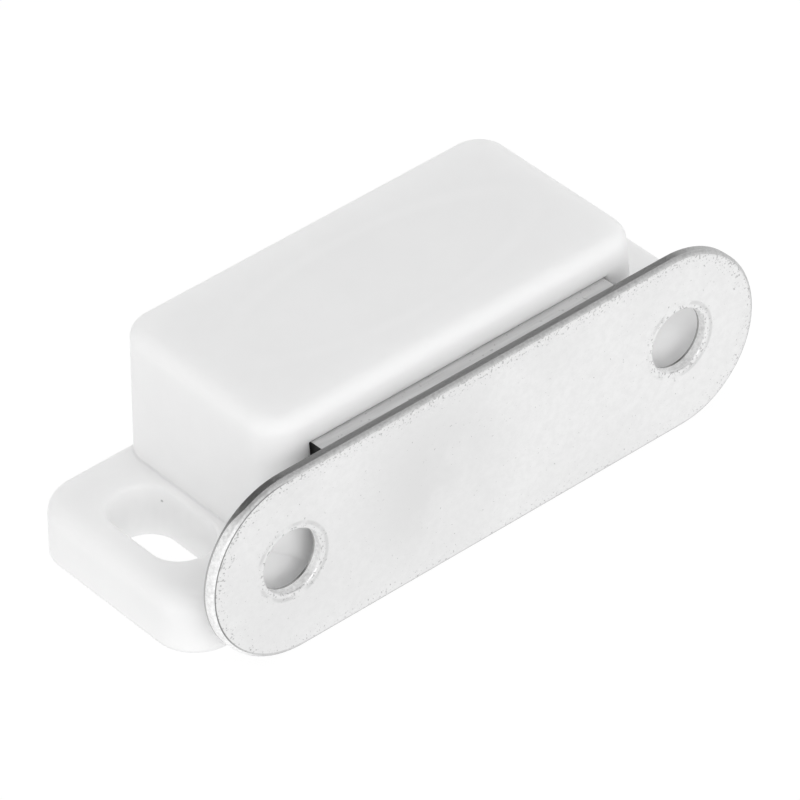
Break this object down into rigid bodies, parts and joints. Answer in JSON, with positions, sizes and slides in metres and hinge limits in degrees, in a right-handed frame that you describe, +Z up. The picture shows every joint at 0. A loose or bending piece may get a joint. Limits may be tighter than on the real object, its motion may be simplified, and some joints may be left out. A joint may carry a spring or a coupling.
{
  "type": "magnetic catch",
  "caption": "Magnetic cabinet catch: a slotted plastic housing holds a rocking magnet between steel pole plates, with a round-ended strike plate on the poles.",
  "frame": {"origin": "middle of the mounting face, halfway between the two screw slots", "axes": "+X along the length, +Y from the open front to the back, +Z up from the mounting face"},
  "size_m": [0.046, 0.0187, 0.0149],
  "materials": {
    "white_plastic": "satin",
    "pole_steel": "zinc plated",
    "ferrite": "matt",
    "strike_steel": "zinc plated, satin"
  },
  "bodies": {
    "housing": {"housing": "white_plastic"},
    "magnet_stack": {"upper_pole_plate": "pole_steel", "lower_pole_plate": "pole_steel", "magnet": "ferrite"},
    "strike": {"strike_plate": "strike_steel"}
  },
  "joints": [
    {"name": "magnet_rock", "type": "hinge", "parent": "housing", "child": "magnet_stack", "pos_m": [0, -0.00152, 0.00721], "axis": [1, 0, 0], "range_deg": [0, 3.7]},
    {"name": "strike_pull", "type": "slide", "parent": "magnet_stack", "child": "strike", "axis": [0, -0.9995, 0.0323], "range_m": [0, 0.03]}
  ]
}
